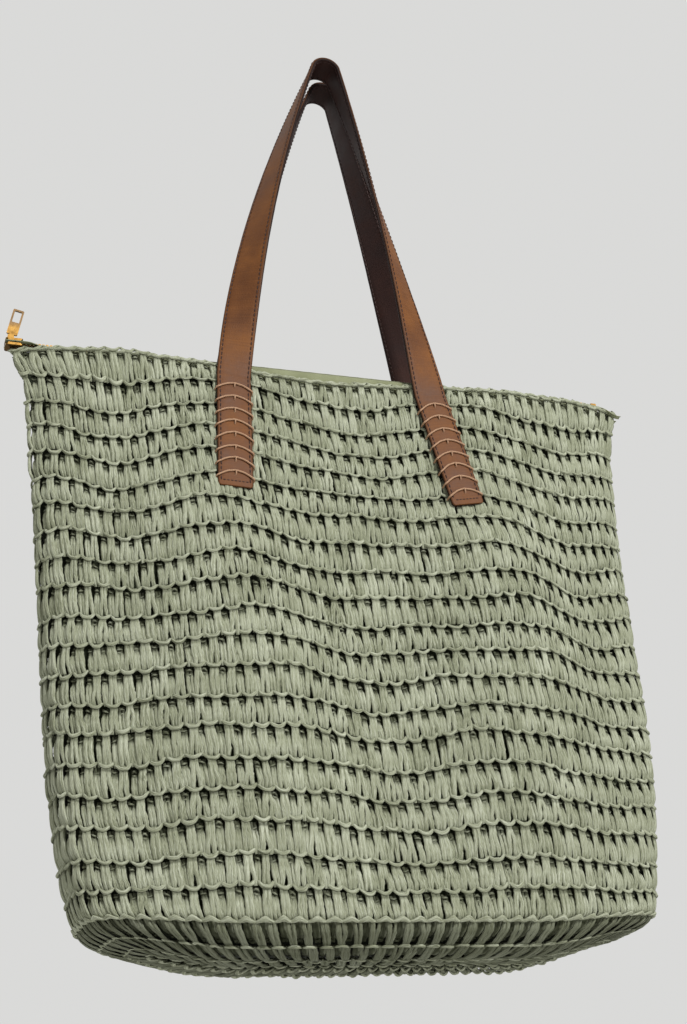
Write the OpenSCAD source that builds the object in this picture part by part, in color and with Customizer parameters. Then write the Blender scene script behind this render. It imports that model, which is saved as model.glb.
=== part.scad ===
// Crocheted beach tote with two leather handles, a fabric lining and a metal zip.
// Millimetres, +Z up, origin on the ground under the middle of the base, front of the bag towards -Y.

/* [Body] */
// Height of the crocheted rim above the ground
rim_z = 385; // [340:1:420]
// Width of the crochet at the rim, from tip to tip
rim_w = 416; // [400:1:430]
// Depth of the crochet at the middle of the rim
rim_d = 34; // [32:1:44]
// Width of the body at the base seam
base_w = 352; // [320:1:380]
// Depth of the body at the base seam
base_d = 96; // [90:1:130]
// Height of the base seam above the ground
seam_z = 20; // [16:1:26]
// How far the front and back belly out at half height
belly = 3; // [0:0.5:6]
// Thickness of the crochet
crochet_t = 4.5; // [3:0.1:5]
// Radius of the chain-stitched seam round the base
seam_r = 1.8; // [1:0.1:2.5]

/* [Lining] */
// Thickness of the lining cloth
lining_t = 0.8; // [0.5:0.1:1]
// Height of the facing band that carries the zip
facing_h = 13; // [10:1:20]

/* [Zip] */
// Left and right end of the zip tape
zip_end_x = [-218, 214]; // [-222:1:222]
// Left and right end of the middle part of the zip that opens
zip_open_x = [-160, 120]; // [-170:1:170]
// Height of the middle of the teeth above the ground
chain_z = 389; // [388.8:0.1:390]
// Length of one tooth and its gap
tooth_pitch = 2.4; // [2:0.1:3]
// Length of the slider body
slider_l = 11; // [9:0.5:13]
// Length of the pull tab
pull_l = 22; // [18:1:26]
// Lean of the pull tab towards the bag's middle, in degrees
pull_lean = 13; // [0:1:20]

/* [Handles] */
// Width of the strap
strap_w = 22.5; // [20:0.5:25]
// Thickness of one leather ply
ply_t = 1.3; // [1:0.1:1.6]
// Height of the fold line where the loop leaves the sewn tab
fold_z = 370; // [362:1:374]
// Height of the middle of the strap at the top of the loop
apex_z = 648; // [600:1:680]
// Sideways place of the top of the loop
apex_x = 5; // [-10:1:10]
// Radius of the bend at the top of the loop
apex_r = 10; // [8:0.5:14]
// Length of the sewn tab below the fold line
tab_l = 85; // [75:1:95]
// Places of the left and right tab at the fold line
tab_x = [-74.6, 61.6]; // [-100:0.2:100]
// Tilt of the left and right tab, in degrees
tab_tilt = [3, -10]; // [-15:1:15]
// Outward bow of the left and right leg of the loop
leg_bow = [9, 4]; // [0:1:12]
// Distance of the strap's middle from the bag's middle plane at the top of the loop
apex_y = 13; // [12.5:0.5:20]
// Sideways shift of the back handle against the front one
back_shift = 6; // [0:1:8]
// Number of lacing stitches on each tab
laces = 8; // [6:1:10]
// Radius of the lacing thread
lace_r = 0.6; // [0.4:0.05:0.8]

/* [Hidden] */

crochet_green = [0.62, 0.64, 0.50];
lining_green = [0.16, 0.20, 0.12];
brass_gold = [0.80, 0.62, 0.28];
saddle_brown = [0.50, 0.29, 0.16];
inner_brown = [0.27, 0.13, 0.08];
thread_tan = [0.78, 0.62, 0.48];

gap = 0.3;                              // clearance between neighbouring soft layers
plan_power = [4, 7];                    // fullness of the plan outline at the base seam and at the rim
plan_root = [0.25, 1];                  // roundness of its ends there: 0.25 is round, 1 is pinched to a tip
end_inset = [1, 1.5];                   // how much faster the ends move inward than the faces
panel_edge = 0.88;                      // share of the half width that the front and back panels take
panel_steps = 20;
side_steps = 6;
level_steps = 9;
ring_steps = 48;

lining_in = crochet_t + gap;            // inset of the lining's outer face
lining_z = rim_z - facing_h - gap;      // top edge of the lining
// Outer profile of the base below the seam: inset and height of each ring down to the flat patch
base_profile = [[0, seam_z], [3.5, 12], [10, 5], [22, 0]];

function mix(a, b, s) = a + (b - a) * s;
function rise(z) = min(1, max(0, (z - seam_z) / (rim_z - seam_z)));
function half_w(z) = mix(base_w, rim_w, rise(z)) / 2;
function half_d(z) = mix(base_d, rim_d, rise(z)) / 2 + belly * sin(180 * rise(z));
// Depth coordinate of the plan outline at a share of its half width
function plan_y(share, z, inset) =
    (half_d(z) - inset)
    * pow(max(0, 1 - pow(abs(share), mix(plan_power[0], plan_power[1], rise(z)))),
          mix(plan_root[0], plan_root[1], pow(rise(z), 1.5)));
function plan_x(share, z, inset) =
    share * (half_w(z) - inset * mix(end_inset[0], end_inset[1], rise(z)));
function wall_point(share, side, z, inset) =
    [plan_x(share, z, inset), side * plan_y(share, z, inset), z];

// Columns run round the bag: [share of the half width, side of the middle plane]
function panel_columns(side) =
    [for (i = [0:panel_steps]) [side * panel_edge * (1 - 2 * i / panel_steps), side]];
function side_columns(end) =
    [for (j = [-side_steps:side_steps])
        [end * (1 - (1 - panel_edge) * pow(j / side_steps, 2)), end * (j < 0 ? -1 : 1)]];

// A closed shell between two insets of the wall, over some columns and between two heights
module wall_shell(columns, z0, z1, inset0, inset1) {
    nu = len(columns);
    nv = level_steps + 1;
    layer = nu * nv;
    points = [for (inset = [inset0, inset1]) for (v = [0:level_steps]) for (c = columns)
        wall_point(c[0], c[1], mix(z0, z1, v / level_steps), inset)];
    quads = concat(
        [for (v = [0:nv - 2]) for (u = [0:nu - 2])
            [v * nu + u, (v + 1) * nu + u, (v + 1) * nu + u + 1, v * nu + u + 1]],
        [for (v = [0:nv - 2]) for (u = [0:nu - 2])
            [layer + v * nu + u, layer + v * nu + u + 1,
             layer + (v + 1) * nu + u + 1, layer + (v + 1) * nu + u]],
        [for (u = [0:nu - 2]) [u, u + 1, layer + u + 1, layer + u]],
        [for (u = [0:nu - 2])
            [(nv - 1) * nu + u, layer + (nv - 1) * nu + u,
             layer + (nv - 1) * nu + u + 1, (nv - 1) * nu + u + 1]],
        [for (v = [0:nv - 2]) [v * nu, layer + v * nu, layer + (v + 1) * nu, (v + 1) * nu]],
        [for (v = [0:nv - 2])
            [v * nu + nu - 1, (v + 1) * nu + nu - 1,
             layer + (v + 1) * nu + nu - 1, layer + v * nu + nu - 1]]);
    polyhedron(points, quads, convexity = 6);
}

// One ring of the rounded plan outline of the base
function base_ring(inset, z) =
    [for (i = [0:ring_steps - 1])
        let (w = 360 * i / ring_steps, a = base_w / 2 - inset, b = base_d / 2 - inset,
             c = cos(w), s = sin(w), k = 2 / plan_power[0])
        [a * sign(c) * pow(abs(c), k), b * sign(s) * pow(abs(s), k), z]];

// A closed solid through rings that each hold ring_steps points, the last joined to the first
module ring_solid(rings) {
    n = len(rings);
    points = [for (r = rings) for (p = r) p];
    faces = [for (k = [0:n - 1]) for (i = [0:ring_steps - 1])
        let (j = (i + 1) % ring_steps, m = (k + 1) % n)
        [k * ring_steps + i, m * ring_steps + i, m * ring_steps + j, k * ring_steps + j]];
    polyhedron(points, faces, convexity = 6);
}

module base_edge_solid() {
    ring_solid(concat(
        [for (p = base_profile) base_ring(p[0], p[1])],
        [for (k = [len(base_profile) - 1:-1:0])
            let (p = base_profile[k], up = k == 0 ? 0 : crochet_t)
            base_ring(p[0] + (k == len(base_profile) - 1 ? 0 : crochet_t), p[1] + up)]));
}

// A bowl of cloth that lies on the crocheted base, up to the seam
module lining_bowl() {
    n = ring_steps;
    last = len(base_profile) - 1;
    rings = concat(
        [for (k = [last:-1:0]) let (p = base_profile[k])
            base_ring(p[0] + lining_in, p[1] + (k == 0 ? 0 : lining_in))],
        [for (k = [0:last]) let (p = base_profile[k])
            base_ring(p[0] + lining_in + lining_t, p[1] + (k == 0 ? 0 : lining_in + lining_t))]);
    points = [for (r = rings) for (p = r) p];
    top = len(rings) - 1;
    faces = concat(
        [[for (i = [0:n - 1]) i]], [[for (i = [n - 1:-1:0]) top * n + i]],
        [for (k = [0:top - 1]) for (i = [0:n - 1]) let (j = (i + 1) % n)
            [k * n + i, (k + 1) * n + i, (k + 1) * n + j, k * n + j]]);
    polyhedron(points, faces, convexity = 6);
}

// The zip tape: from the facing's top edge up to the teeth, flat at both free ends
teeth_half = 2.6;
tape_t = 0.6;
tape_free = rim_w / 2 - 4;              // beyond this distance from the middle the tape lies flat
tape_free_half = 5.4;
tape_low_z = rim_z + gap + tape_t / 2;
function tape_outer_y(x) =
    max(tape_free_half, plan_y(x / (rim_w / 2), rim_z, crochet_t + gap + lining_t) - 1);
function tape_outer_z(x) =
    let (s = min(1, max(0, (tape_free - abs(x)) / 12))) mix(chain_z, tape_low_z, s * s * (3 - 2 * s));
module tape_half(x0, x1, side, steps) {
    points = [for (i = [0:steps])
        let (x = mix(x0, x1, i / steps), inner = teeth_half, h = tape_t / 2)
        each [[x, side * inner, chain_z - h], [x, side * inner, chain_z + h],
              [x, side * tape_outer_y(x), tape_outer_z(x) + h],
              [x, side * tape_outer_y(x), tape_outer_z(x) - h]]];
    last = 4 * steps;
    flip = side > 0;
    faces = concat(
        [[0, 1, 2, 3]], [[last + 3, last + 2, last + 1, last]],
        [for (i = [0:steps - 1]) for (k = [0:3])
            let (a = 4 * i + k, b = 4 * i + (k + 1) % 4) [a, a + 4, b + 4, b]]);
    turned = [for (f = faces) flip ? f : [for (k = [len(f) - 1:-1:0]) f[k]]];
    polyhedron(points, turned, convexity = 4);
}

// A comb of square teeth on a bead, between two places along the zip
tooth_gap = 0.1;
bead_w = 0.7;
teeth_t = 2.2;
module teeth_row(x0, x1, side) {
    shift = side > 0 ? tooth_pitch / 2 : 0;
    count = floor((x1 - x0 - tooth_pitch) / tooth_pitch);
    tooth = tooth_pitch / 2 - tooth_gap;
    comb = concat(
        [[x0, -teeth_half], [x0, -teeth_half + bead_w]],
        [for (i = [0:count - 1]) let (x = x0 + 0.3 + shift + i * tooth_pitch)
            each [[x, -teeth_half + bead_w], [x, 1], [x + tooth, 1], [x + tooth, -teeth_half + bead_w]]],
        [[x1, -teeth_half + bead_w], [x1, -teeth_half]]);
    translate([0, 0, chain_z - teeth_t / 2])
        mirror([0, side > 0 ? 1 : 0, 0])
            linear_extrude(teeth_t)
                polygon(comb);
}

// The slider: two plates joined by a post, with side rails, and two lugs that hold the pull tab
slider_x = zip_end_x[0] + slider_l / 2;
slider_half = 4.6;
plate_t = 1;
plate_in = teeth_t / 2 + 0.4;           // from the middle of the teeth to each plate
rail_t = 1;
slot_half = 0.8;
lug_t = 1;
pin_r = 0.6;
pin_z = chain_z + plate_in + plate_t + 2.2;
pin_x = slider_x - 2;
tab_t = 1.2;
module slider_plate() {
    hull() for (x = [-1, 1]) for (y = [-1, 1])
        translate([x * (slider_l / 2 - 1.5), y * (slider_half - 1.5)]) circle(1.5, $fn = 32);
}
module rail(side, z0, z1) {
    translate([slider_x - slider_l / 2 + 1.5, side > 0 ? slider_half - rail_t : -slider_half, z0])
        cube([slider_l - 3, rail_t, z1 - z0]);
}
module slider_solid() {
    difference() {
        union() {
            translate([slider_x, 0, chain_z + plate_in]) linear_extrude(plate_t) slider_plate();
            translate([slider_x, 0, chain_z - plate_in - plate_t]) linear_extrude(plate_t) slider_plate();
            for (side = [-1, 1]) {
                rail(side, chain_z + slot_half, chain_z + plate_in);
                rail(side, chain_z - plate_in, chain_z - slot_half);
                translate([pin_x - 2, side > 0 ? tab_t / 2 + gap : -tab_t / 2 - gap - lug_t,
                           chain_z + plate_in + plate_t])
                    cube([4, lug_t, 4]);
            }
            translate([slider_x - slider_l / 2 + 0.2, -1, chain_z - plate_in])
                cube([1.2, 2, 2 * plate_in]);
        }
        translate([pin_x, 0, pin_z]) rotate([90, 0, 0]) cylinder(h = 12, r = pin_r, center = true, $fn = 32);
    }
    translate([pin_x, 0, pin_z]) rotate([90, 0, 0])
        cylinder(h = tab_t + 2 * gap + 2 * lug_t, r = pin_r, center = true, $fn = 32);
}

// The pull tab: a flat tab with an eye at its pin and a rectangular window in its upper half
pull_w = 7;
eye_r = 1.9;
eye_clear = 0.08;
module pull_solid() {
    translate([pin_x, tab_t / 2, pin_z]) rotate([0, pull_lean, 0]) rotate([90, 0, 0])
        linear_extrude(tab_t) difference() {
            union() {
                circle(eye_r, $fn = 48);
                translate([-1.5, 0]) square([3, 3.5]);
                hull() {
                    for (x = [-1, 1]) translate([x * (pull_w / 2 - 0.8), 3.6]) circle(0.8, $fn = 24);
                    for (x = [-1, 1]) translate([x * (pull_w / 2 - 0.8), pull_l - 0.8]) circle(0.8, $fn = 24);
                }
            }
            circle(pin_r + eye_clear, $fn = 48);
            translate([-pull_w / 2 + 1.2, pull_l * 0.55]) square([pull_w - 2.4, pull_l * 0.45 - 1.3]);
        }
}

// The strap loop: a ribbon swept up one leg, over the apex and down the other
leg_steps = 24;
arc_steps = 8;
strap_in = gap + ply_t;                // from the crochet's face to the strap's middle
function face_y(z) = -(half_d(z) + strap_in);
function bezier(a, b, c, s) = (1 - s) * (1 - s) * a + 2 * s * (1 - s) * b + s * s * c;
arc_lean = 20;                          // angle from the vertical at which the legs meet the bend
function leg_end(side) = [apex_x + side * apex_r * cos(arc_lean), apex_z - apex_r + apex_r * sin(arc_lean)];
function leg_point(k, s) =
    let (side = k == 0 ? -1 : 1, e = leg_end(side), z0 = fold_z + gap,
         m = [(tab_x[k] + e[0]) / 2 + side * 2 * leg_bow[k], (z0 + e[1]) / 2])
    [bezier(tab_x[k], m[0], e[0], s), mix(face_y(fold_z), -apex_y, s), bezier(z0, m[1], e[1], s)];
strap_path = concat(
    [for (i = [0:leg_steps]) leg_point(0, i / leg_steps)],
    [for (i = [1:arc_steps - 1]) let (w = mix(180 - arc_lean, arc_lean, i / arc_steps))
        [apex_x + apex_r * cos(w), -apex_y, apex_z - apex_r + apex_r * sin(w)]],
    [for (i = [leg_steps:-1:0]) leg_point(1, i / leg_steps)]);
strap_last = len(strap_path) - 1;
// Quarter turn of the ribbon, from flat against the bag at both ends to flat over the bend
function strap_turn(i) =
    let (s = min(1, min(i, strap_last - i) / leg_steps)) 90 * pow(s, 0.75) * (1 - exp(-s / 0.08));
function unit(v) = v / norm(v);
function strap_ring(i, t0, t1) =
    let (p = strap_path[i], q = strap_path[max(0, i - 1)], r = strap_path[min(strap_last, i + 1)],
         t = unit(r - q), n1 = unit([0, -1, 0] + t * t[1]), n2 = cross(n1, t), w = strap_turn(i),
         at_end = i == 0 || i == strap_last,
         n = at_end ? [0, -1, 0] : cos(w) * n1 + sin(w) * n2,
         across = at_end ? [i == 0 ? 1 : -1, 0, 0] : unit(cross(n, t)) * -1,
         half = strap_w / 2)
    [p - across * half + n * t0, p - across * half + n * t1,
     p + across * half + n * t1, p + across * half + n * t0];
strap_strips = 4;                       // strips across each face, so that the twisted faces stay true
// Both plies cut their shared face into the same triangles
module strap_ply(t0, t1) {
    n = strap_strips + 1;
    ring = 2 * n;
    points = [for (i = [0:strap_last])
        let (c = strap_ring(i, t0, t1))
        each concat([for (k = [0:strap_strips]) mix(c[0], c[3], k / strap_strips)],
                    [for (k = [0:strap_strips]) mix(c[1], c[2], k / strap_strips)])];
    last = ring * strap_last;
    inner_face = [for (i = [0:strap_last - 1]) for (k = [0:strap_strips - 1])
        let (a = ring * i + k, b = a + ring) each [[a, b + 1, a + 1], [a, b, b + 1]]];
    outer_face = [for (i = [0:strap_last - 1]) for (k = [0:strap_strips - 1])
        let (a = ring * i + n + k, b = a + ring) each [[a, a + 1, b + 1], [a, b + 1, b]]];
    sides = [for (i = [0:strap_last - 1]) for (e = [[0, n], [ring - 1, n - 1]])
        let (a = ring * i + e[0], c = ring * i + e[1]) each [[a, c + ring, a + ring], [a, c, c + ring]]];
    ends = [for (k = [0:strap_strips - 1])
        each [[k, k + 1, n + k + 1, n + k], [last + n + k, last + n + k + 1, last + k + 1, last + k]]];
    polyhedron(points, concat(inner_face, outer_face, sides, ends), convexity = 8);
}

// A sewn tab lies on the sloping face of the bag, below the fold line
tab_off = 0.5;                          // lift of the tab off the slightly rounded face
face_slope = atan((half_d(fold_z - tab_l) - half_d(fold_z)) / tab_l);
corner_r = 2;
module on_face() {
    translate([0, -half_d(fold_z) - tab_off, fold_z - gap]) rotate([90 - face_slope, 0, 0]) children();
}
// Outline of a tab in the plane of the face: a tilted strip cut level at the fold line
module tab_outline(k) {
    intersection() {
        translate([tab_x[k], 0]) rotate(-tab_tilt[k])
            hull() {
                for (s = [-1, 1])
                    translate([s * (strap_w / 2 - corner_r), -tab_l + corner_r]) circle(corner_r, $fn = 32);
                translate([-strap_w / 2, 0]) square([strap_w, 10]);
            }
        translate([-200, -tab_l - 20]) square([400, tab_l + 20]);
    }
}
module tab_solid(k) {
    on_face() linear_extrude(2 * ply_t) tab_outline(k);
}
lace_rise = 4.5;                        // how far each lacing stitch peaks at the strap's middle
lace_top = 11;                          // from the fold to the first stitch's ends
lace_low = 6.6;                         // from the last stitch's ends to the tab's end
lace_sides = 8;
// A thread swept through points that keep to one depth or one place, with flat ends
module thread(path) {
    n = lace_sides;
    last = len(path) - 1;
    points = [for (i = [0:last])
        let (d = unit(unit(path[min(last, i + 1)] - path[i] + [0, 1e-9, 0])
                      + unit(path[i] - path[max(0, i - 1)] + [0, 1e-9, 0])),
             d1 = i == 0 ? unit(path[1] - path[0]) : i == last ? unit(path[last] - path[last - 1]) : d,
             e1 = unit([0, 1, 0] - d1 * d1[1]), e2 = cross(d1, e1))
        for (k = [0:n - 1]) path[i] + lace_r * (cos(360 * k / n) * e1 + sin(360 * k / n) * e2)];
    faces = concat(
        [[for (k = [n - 1:-1:0]) k]], [[for (k = [0:n - 1]) last * n + k]],
        [for (i = [0:last - 1]) for (k = [0:n - 1]) let (j = (k + 1) % n)
            each [[i * n + k, i * n + j, (i + 1) * n + j], [i * n + k, (i + 1) * n + j, (i + 1) * n + k]]]);
    polyhedron(points, [for (f = faces) [for (k = [len(f) - 1:-1:0]) f[k]]], convexity = 4);
}
module lacing_solid(k) {
    half = strap_w / 2 + lace_r + 0.2;
    top = 2 * ply_t + lace_r + 0.05;
    on_face() translate([tab_x[k], 0, 0]) rotate(-tab_tilt[k])
        for (i = [0:laces - 1]) {
            y = -lace_top - i * (tab_l - lace_top - lace_low) / (laces - 1);
            thread([[-half, y, 0.1], [-half, y, top - 0.6], [-half + 0.6, y, top],
                    [-1.5, y + lace_rise - 0.4, top], [1.5, y + lace_rise - 0.4, top],
                    [half - 0.6, y, top], [half, y, top - 0.6], [half, y, 0.1]]);
        }
}

module crochet_front() { color(crochet_green) wall_shell(panel_columns(-1), seam_z, rim_z, 0, crochet_t); }
module crochet_back() { color(crochet_green) wall_shell(panel_columns(1), seam_z, rim_z, 0, crochet_t); }
module crochet_left_side() { color(crochet_green) wall_shell(side_columns(-1), seam_z, rim_z, 0, crochet_t); }
module crochet_right_side() { color(crochet_green) wall_shell(side_columns(1), seam_z, rim_z, 0, crochet_t); }
module crochet_base_edge() { color(crochet_green) base_edge_solid(); }
module crochet_base() {
    color(crochet_green) linear_extrude(crochet_t)
        polygon([for (p = base_ring(base_profile[3][0] + 0.02, 0)) [p[0], p[1]]]);
}
module base_seam_chain() {
    color(crochet_green) ring_solid([for (k = [0:7]) let (w = 45 * k)
        base_ring(-seam_r - 0.1 - seam_r * cos(w), seam_z + seam_r * sin(w))]);
}
module lining_wall(columns) {
    color(lining_green) wall_shell(columns, seam_z, lining_z, lining_in, lining_in + lining_t);
}
module lining_front() { lining_wall(panel_columns(-1)); }
module lining_back() { lining_wall(panel_columns(1)); }
module lining_left_side() { lining_wall(side_columns(-1)); }
module lining_right_side() { lining_wall(side_columns(1)); }
module lining_base() { color(lining_green) lining_bowl(); }
module facing(side) {
    color(crochet_green)
        wall_shell(panel_columns(side), rim_z - facing_h, rim_z, lining_in, lining_in + lining_t);
}
module facing_front() { facing(-1); }
module facing_back() { facing(1); }
module zip_tape_front() { color(crochet_green) tape_half(zip_open_x[0], zip_open_x[1], -1, 16); }
module zip_tape_back() { color(crochet_green) tape_half(zip_open_x[0], zip_open_x[1], 1, 16); }
module tape_end(x0, x1) {
    color(crochet_green) for (side = [-1, 1]) tape_half(x0, x1, side, 10);
}
module zip_tape_left_end() { tape_end(zip_end_x[0], zip_open_x[0] - gap); }
module zip_tape_right_end() { tape_end(zip_open_x[1] + gap, zip_end_x[1]); }
module zip_teeth_front() { color(brass_gold) teeth_row(zip_open_x[0], zip_open_x[1], -1); }
module zip_teeth_back() { color(brass_gold) teeth_row(zip_open_x[0], zip_open_x[1], 1); }
module teeth_end(x0, x1) { color(brass_gold) for (side = [-1, 1]) teeth_row(x0, x1, side); }
teeth_left = slider_x + slider_l / 2 - 2;
teeth_right = zip_end_x[1] - 21;
module zip_teeth_left_end() { teeth_end(teeth_left, zip_open_x[0] - gap); }
module zip_teeth_right_end() { teeth_end(zip_open_x[1] + gap, teeth_right); }
module zip_bottom_stop() {
    color(brass_gold) translate([teeth_right + gap, -2.3, chain_z - 1.4]) cube([4, 4.6, 2.8]);
}
module zip_slider() { color(brass_gold) slider_solid(); }
module zip_pull_tab() { color(brass_gold) pull_solid(); }
module outer_ply() { color(saddle_brown) strap_ply(0, ply_t); }
module inner_ply() { color(inner_brown) strap_ply(-ply_t, 0); }
module at_back() { translate([back_shift, 0, 0]) mirror([0, 1, 0]) children(); }
module front_handle_outer() { outer_ply(); }
module front_handle_inner() { inner_ply(); }
module back_handle_outer() { at_back() outer_ply(); }
module back_handle_inner() { at_back() inner_ply(); }
module front_left_tab() { color(saddle_brown) tab_solid(0); }
module front_right_tab() { color(saddle_brown) tab_solid(1); }
module back_left_tab() { color(saddle_brown) at_back() tab_solid(0); }
module back_right_tab() { color(saddle_brown) at_back() tab_solid(1); }
module front_left_lacing() { color(thread_tan) lacing_solid(0); }
module front_right_lacing() { color(thread_tan) lacing_solid(1); }
module back_left_lacing() { color(thread_tan) at_back() lacing_solid(0); }
module back_right_lacing() { color(thread_tan) at_back() lacing_solid(1); }

crochet_front();
crochet_back();
crochet_left_side();
crochet_right_side();
crochet_base_edge();
crochet_base();
base_seam_chain();
lining_front();
lining_back();
lining_left_side();
lining_right_side();
lining_base();
facing_front();
facing_back();
zip_tape_front();
zip_tape_back();
zip_tape_left_end();
zip_tape_right_end();
zip_teeth_front();
zip_teeth_back();
zip_teeth_left_end();
zip_teeth_right_end();
zip_bottom_stop();
zip_slider();
zip_pull_tab();
front_handle_outer();
front_handle_inner();
back_handle_outer();
back_handle_inner();
front_left_tab();
front_right_tab();
back_left_tab();
back_right_tab();
front_left_lacing();
front_right_lacing();
back_left_lacing();
back_right_lacing();
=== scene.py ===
import math

import bpy
import numpy as np
from mathutils import Matrix, Vector


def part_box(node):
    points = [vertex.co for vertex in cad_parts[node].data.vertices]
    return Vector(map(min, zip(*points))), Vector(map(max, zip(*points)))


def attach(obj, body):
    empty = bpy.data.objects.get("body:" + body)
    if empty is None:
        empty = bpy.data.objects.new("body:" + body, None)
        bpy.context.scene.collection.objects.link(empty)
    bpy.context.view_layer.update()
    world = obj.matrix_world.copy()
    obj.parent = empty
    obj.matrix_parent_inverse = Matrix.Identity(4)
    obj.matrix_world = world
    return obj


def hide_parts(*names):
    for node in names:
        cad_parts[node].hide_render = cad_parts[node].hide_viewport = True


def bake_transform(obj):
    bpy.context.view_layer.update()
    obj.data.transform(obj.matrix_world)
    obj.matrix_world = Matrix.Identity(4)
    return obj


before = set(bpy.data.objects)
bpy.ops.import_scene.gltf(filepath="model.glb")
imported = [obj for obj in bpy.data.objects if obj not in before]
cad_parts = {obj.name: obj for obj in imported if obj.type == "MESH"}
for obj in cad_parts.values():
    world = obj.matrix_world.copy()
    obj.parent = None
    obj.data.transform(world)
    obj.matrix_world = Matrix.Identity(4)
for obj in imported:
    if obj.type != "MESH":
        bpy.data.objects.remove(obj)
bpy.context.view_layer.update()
MM = 0.001

# -------------------------------------------------- camera: the bag hangs and is seen from below its left

CAMERA_PLACE = (-316, -871, -155)
CAMERA_YAW, CAMERA_PITCH, CAMERA_ROLL = math.radians(20), math.radians(25.6), -0.076
LENS = 55.7


def make_camera():
    forward = Vector((math.sin(CAMERA_YAW) * math.cos(CAMERA_PITCH),
                      math.cos(CAMERA_YAW) * math.cos(CAMERA_PITCH), math.sin(CAMERA_PITCH)))
    level = Vector((math.cos(CAMERA_YAW), -math.sin(CAMERA_YAW), 0))
    above = level.cross(forward)
    right = math.cos(CAMERA_ROLL) * level + math.sin(CAMERA_ROLL) * above
    up = math.cos(CAMERA_ROLL) * above - math.sin(CAMERA_ROLL) * level
    camera = bpy.data.objects.new("camera", bpy.data.cameras.new("camera"))
    camera.data.lens = LENS
    camera.data.sensor_width = 36
    turn = Matrix((right, up, -forward)).transposed().to_4x4()
    camera.matrix_world = Matrix.Translation(Vector(CAMERA_PLACE) * MM) @ turn
    bpy.context.collection.objects.link(camera)
    bpy.context.scene.camera = camera


make_camera()

# -------------------------------------------------- driving dimensions, as in the CAD

RIM_Z, SEAM_Z = 385, 20
RIM_W, RIM_D = 416, 34
BASE_W, BASE_D = 352, 96
BELLY = 3
PLAN_POWER = (4, 7)
PLAN_ROOT = (0.25, 1)
BASE_PROFILE = ((0, 20), (3.5, 12), (10, 5), (22, 0))
PITCH = 9.18                  # width of one stitch
ROUND = 92                    # stitches in one round
CHAIN_Z = 389                 # middle of the zip's teeth
ZIP_LEFT, ZIP_RIGHT = -218, 214
ZIP_OPEN = (-160, 120)
FOLD_Z = 370                  # where the handle loop leaves its sewn end
STRAP_W, PLY_T = 22.5, 1.3
TAB_X, TAB_TILT, TAB_L = (-74.6, 61.6), (3, -10), 85
APEX_X, APEX_Y, APEX_Z, APEX_R = 5, 13, 648, 10
BACK_SHIFT = 6                # the back handle sits this far to the right of the front one
ARC_LEAN = 20
LEG_BOW = (9, 4)
LACES = 8


def mix(a, b, s):
    return a + (b - a) * s


def rise(z):
    return np.clip((z - SEAM_Z) / (RIM_Z - SEAM_Z), 0, 1)


def half_depth(z):
    return mix(BASE_D, RIM_D, rise(z)) / 2 + BELLY * np.sin(np.pi * rise(z))


def half_width(z):
    return mix(BASE_W, RIM_W, rise(z)) / 2


# -------------------------------------------------- the wall as one surface: (stitches round, mm up)

V_LOW, V_HIGH, V_STEP = -60.0, 372.0, 3.0
STITCH_SAMPLES = 12           # points of the wall's outline in the width of one stitch
ROUND_SAMPLES = ROUND * STITCH_SAMPLES
OUTLINE_STEPS = 1500          # points of half a plan outline before they are spaced evenly
RIM_SAG = 9.0                 # how far the front's rim sinks between the handles
WAVE_WIDTH, WAVE_X = 172, 3   # the waves that the handles pull in the front: their width, and a crest


def profile(v):
    """Height and inset of the wall at v mm above the base seam, or below it along the base's curve."""
    if v >= 0:
        return SEAM_Z + v, 0.0
    left = -v
    for (i0, z0), (i1, z1) in zip(BASE_PROFILE, BASE_PROFILE[1:]):
        step = math.hypot(i1 - i0, z1 - z0)
        if left <= step:
            return mix(z0, z1, left / step), mix(i0, i1, left / step)
        left -= step
    return 0.0, BASE_PROFILE[-1][0] + left


def outline(z, inset):
    """Evenly spaced points round the bag, from the left tip along the front and back along the rear."""
    share = -np.cos(np.pi * np.arange(OUTLINE_STEPS + 1) / OUTLINE_STEPS)
    s = float(rise(z))
    power, root = mix(*PLAN_POWER, s), mix(*PLAN_ROOT, s ** 1.5)
    x = share * (half_width(z) - inset)
    y = (half_depth(z) - inset) * np.maximum(0, 1 - np.abs(share) ** power) ** root
    ring = np.concatenate([np.stack([x, -y], 1), np.stack([x[::-1], y[::-1]], 1)[1:]])
    along = np.concatenate([[0], np.cumsum(np.linalg.norm(np.diff(ring, axis=0), axis=1))])
    even = np.linspace(0, along[-1], ROUND_SAMPLES + 1)[:-1]
    flat = np.stack([np.interp(even, along, ring[:, k]) for k in (0, 1)], 1)
    return np.concatenate([flat, np.full((ROUND_SAMPLES, 1), z)], 1)


def build_wall():
    levels = np.arange(V_LOW, V_HIGH + V_STEP, V_STEP)
    place = np.array([outline(*profile(v)) for v in levels])
    half_stitch = STITCH_SAMPLES // 2
    across = np.roll(place, -half_stitch, 1) - np.roll(place, half_stitch, 1)
    upward = np.gradient(place, axis=0)
    normal = np.cross(across, upward)
    for _ in range(2):
        normal[1:-1] = normal[1:-1] * 2 + normal[:-2] + normal[2:]
        normal /= np.linalg.norm(normal, axis=2, keepdims=True)
    return place, normal


WALL_PLACE, WALL_NORMAL = build_wall()


def ease(a):
    a = np.clip(a, 0, 1)
    return a * a * (3 - 2 * a)


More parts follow.
